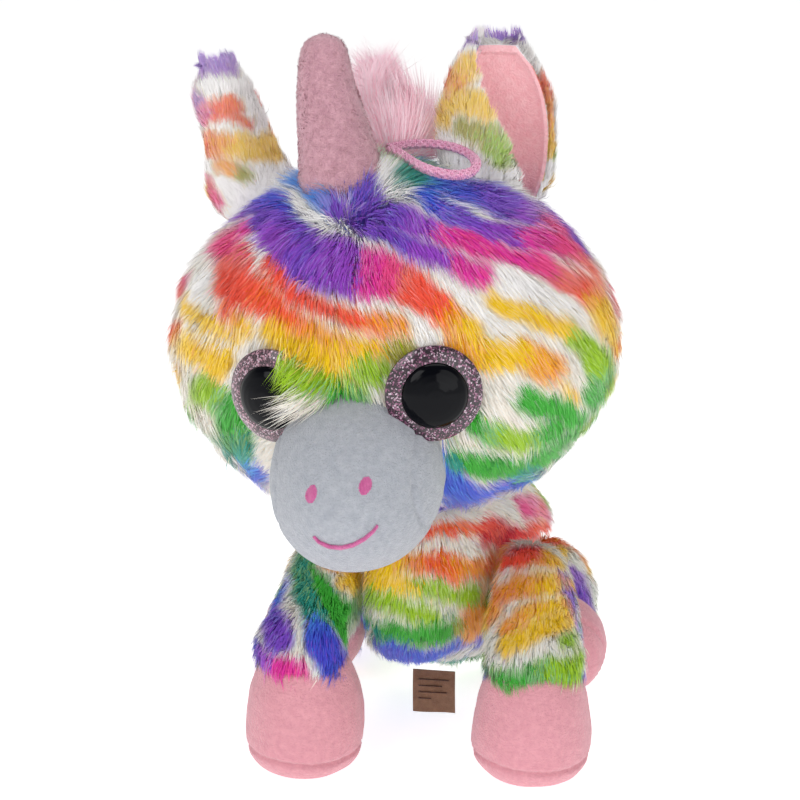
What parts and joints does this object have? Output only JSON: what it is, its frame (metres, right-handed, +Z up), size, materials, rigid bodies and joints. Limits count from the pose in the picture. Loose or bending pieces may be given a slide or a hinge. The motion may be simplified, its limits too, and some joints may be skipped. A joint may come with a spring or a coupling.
{
  "type": "plush unicorn",
  "caption": "Sitting plush unicorn with rainbow striped fur, large glitter eyes, pink velour horn, hooves and ear linings, pink mane, tail and a hanging loop.",
  "frame": {"origin": "centre of the toy's bounding box on the floor it sits on", "axes": "+Z up, -Y the way the toy faces, +X the toy's own left side"},
  "size_m": [0.1578, 0.2202, 0.2442],
  "materials": {
    "rainbow_fur": "short dense rainbow striped plush fur",
    "pink_velour": "short pile pink velour",
    "grey_velour": "short pile grey-white velour",
    "long_pink_fur": "long wispy pale pink fur",
    "fibrefill": "soft white polyester filling",
    "pellet_bag": "thin woven bag of plastic pellets",
    "seam_tape": "doubled seam allowance",
    "glitter_plastic": "mauve glitter under clear gloss",
    "black_gloss": "high gloss black dome",
    "white_plastic": "moulded nylon",
    "pink_thread": "satin embroidery thread",
    "pink_cord": "braided polyester cord",
    "brown_label": "woven satin label"
  },
  "bodies": {
    "torso": {"body_cover": "rainbow_fur", "body_stuffing": "fibrefill", "seat_pellet_bag": "pellet_bag"},
    "neck": {"neck_seam_ring": "seam_tape"},
    "head": {"head_cover": "rainbow_fur", "head_stuffing": "fibrefill", "muzzle_cover": "grey_velour", "muzzle_stuffing": "fibrefill", "eye_ring_left": "glitter_plastic", "eye_ring_right": "glitter_plastic", "eye_pupil_left": "black_gloss", "eye_pupil_right": "black_gloss", "eye_lock_washers": "white_plastic", "nostril_left": "pink_thread", "nostril_right": "pink_thread", "smile_stitching": "pink_thread", "mane_tuft": "long_pink_fur", "loop_bar_tack": "pink_thread"},
    "hanging_loop": {"hanging_loop": "pink_cord"},
    "horn": {"horn_cover": "pink_velour", "horn_stuffing": "fibrefill"},
    "tail": {"tail_tuft": "long_pink_fur"},
    "care_label": {"care_label": "brown_label"},
    "ear_left": {"ear_left_fur": "rainbow_fur", "ear_left_lining": "pink_velour"},
    "front_leg_left": {"front_leg_left_fur": "rainbow_fur", "front_leg_left_stuffing": "fibrefill", "front_leg_left_hoof": "pink_velour", "front_leg_left_sole": "pink_velour"},
    "hind_leg_left": {"hind_leg_left_fur": "rainbow_fur", "hind_leg_left_stuffing": "fibrefill", "hind_leg_left_hoof": "pink_velour", "hind_leg_left_sole": "pink_velour"},
    "ear_right": {"ear_right_fur": "rainbow_fur", "ear_right_lining": "pink_velour"},
    "front_leg_right": {"front_leg_right_fur": "rainbow_fur", "front_leg_right_stuffing": "fibrefill", "front_leg_right_hoof": "pink_velour", "front_leg_right_sole": "pink_velour"},
    "hind_leg_right": {"hind_leg_right_fur": "rainbow_fur", "hind_leg_right_stuffing": "fibrefill", "hind_leg_right_hoof": "pink_velour", "hind_leg_right_sole": "pink_velour"}
  },
  "joints": [
    {"name": "head_turn", "type": "hinge", "parent": "torso", "child": "neck", "pos_m": [0.00688, -0.02184, 0.058], "axis": [0, 0, 1], "range_deg": [-20, 20], "stiffness_Nm_per_rad": 1.2},
    {"name": "head_nod", "type": "hinge", "parent": "neck", "child": "head", "pos_m": [0.00688, -0.02184, 0.058], "axis": [1, 0, 0], "range_deg": [-5, 9], "stiffness_Nm_per_rad": 3},
    {"name": "horn_wobble", "type": "hinge", "parent": "head", "child": "horn", "pos_m": [-0.01467, -0.03652, 0.19514], "axis": [0.0348, 0.9994, 0.003], "range_deg": [-10, 10], "stiffness_Nm_per_rad": 0.12},
    {"name": "hanging_loop_lift", "type": "hinge", "parent": "head", "child": "hanging_loop", "pos_m": [-0.00275, -0.02135, 0.20271], "axis": [-0.0348, -0.9994, -0.003], "range_deg": [0, 75]},
    {"name": "tail_wag", "type": "hinge", "parent": "torso", "child": "tail", "pos_m": [0.01089, 0.0791, 0.05459], "axis": [0, 0, 1], "range_deg": [-30, 30], "stiffness_Nm_per_rad": 0.05},
    {"name": "care_label_swing", "type": "hinge", "parent": "torso", "child": "care_label", "pos_m": [0.01588, -0.03085, 0.0201], "axis": [1, 0, 0], "range_deg": [-35, 35]},
    {"name": "ear_left_flap", "type": "hinge", "parent": "head", "child": "ear_left", "pos_m": [0.03263, -0.00313, 0.19025], "axis": [0.9956, -0.0349, 0.0871], "range_deg": [-18, 18], "stiffness_Nm_per_rad": 0.12},
    {"name": "front_leg_left_swing", "type": "hinge", "parent": "torso", "child": "front_leg_left", "pos_m": [0.04788, -0.03385, 0.055], "axis": [-1, 0, 0], "range_deg": [-8, 25], "stiffness_Nm_per_rad": 3},
    {"name": "hind_leg_left_lift", "type": "hinge", "parent": "torso", "child": "hind_leg_left", "pos_m": [0.04389, 0.03615, 0.026], "axis": [-1, 0, 0], "range_deg": [0, 20], "stiffness_Nm_per_rad": 1.5},
    {"name": "ear_right_flap", "type": "hinge", "parent": "head", "child": "ear_right", "pos_m": [-0.04782, -0.01032, 0.18271], "axis": [0.9956, -0.0349, 0.0871], "range_deg": [-18, 18], "stiffness_Nm_per_rad": 0.12},
    {"name": "front_leg_right_swing", "type": "hinge", "parent": "torso", "child": "front_leg_right", "pos_m": [-0.01811, -0.03385, 0.055], "axis": [-1, 0, 0], "range_deg": [-8, 25], "stiffness_Nm_per_rad": 3},
    {"name": "hind_leg_right_lift", "type": "hinge", "parent": "torso", "child": "hind_leg_right", "pos_m": [-0.02412, 0.03615, 0.026], "axis": [-1, 0, 0], "range_deg": [0, 20], "stiffness_Nm_per_rad": 1.5}
  ]
}
